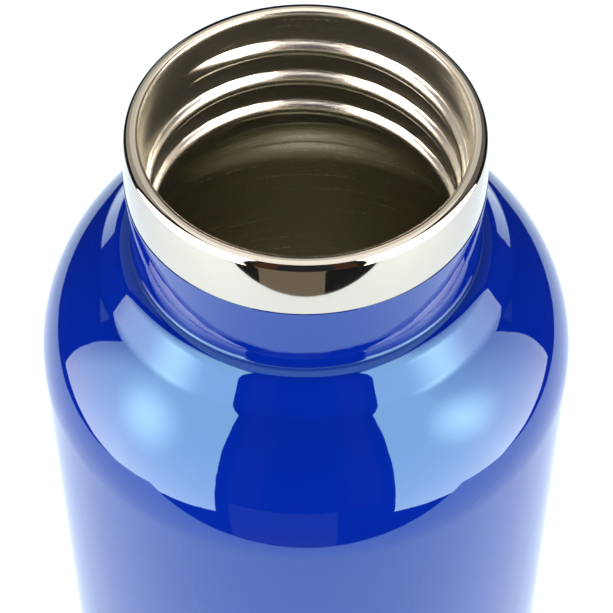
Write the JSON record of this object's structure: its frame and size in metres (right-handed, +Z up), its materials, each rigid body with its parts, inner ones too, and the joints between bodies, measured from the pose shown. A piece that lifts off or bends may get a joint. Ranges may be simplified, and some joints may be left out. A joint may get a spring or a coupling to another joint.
{
  "type": "insulated water bottle",
  "caption": "Double-walled vacuum water bottle with a glossy blue coat, a bare polished lip band and an open mouth with a rolled internal screw thread.",
  "frame": {"origin": "centre of the ring that the bottle stands on", "axes": "+Z up along the bottle's axis, out of the mouth; +Y is the side where the thread starts, -Y faces the viewer"},
  "size_m": [0.073, 0.073, 0.232],
  "materials": {
    "polished_steel": "mirror-polished stainless steel",
    "blue_enamel": "high gloss",
    "inner_steel": "satin electropolished stainless steel",
    "weld_steel": "ground weld",
    "base_steel": "satin",
    "cover_steel": "spun satin",
    "adhesive": "matte",
    "solder_glass": "gloss",
    "getter_alloy": "matte",
    "clip_steel": "satin",
    "copper": "bright copper foil"
  },
  "bodies": {
    "root": {"outer_shell": "polished_steel", "colour_coat": "blue_enamel", "inner_flask": "inner_steel", "lip_weld": "weld_steel", "inner_base": "inner_steel", "inner_base_weld": "weld_steel", "outer_base": "base_steel", "outer_base_weld": "weld_steel", "base_cover": "cover_steel", "cover_glue": "adhesive", "seal_bead": "solder_glass", "getter_pill": "getter_alloy", "getter_clip": "clip_steel", "copper_foil": "copper"}
  },
  "joints": []
}
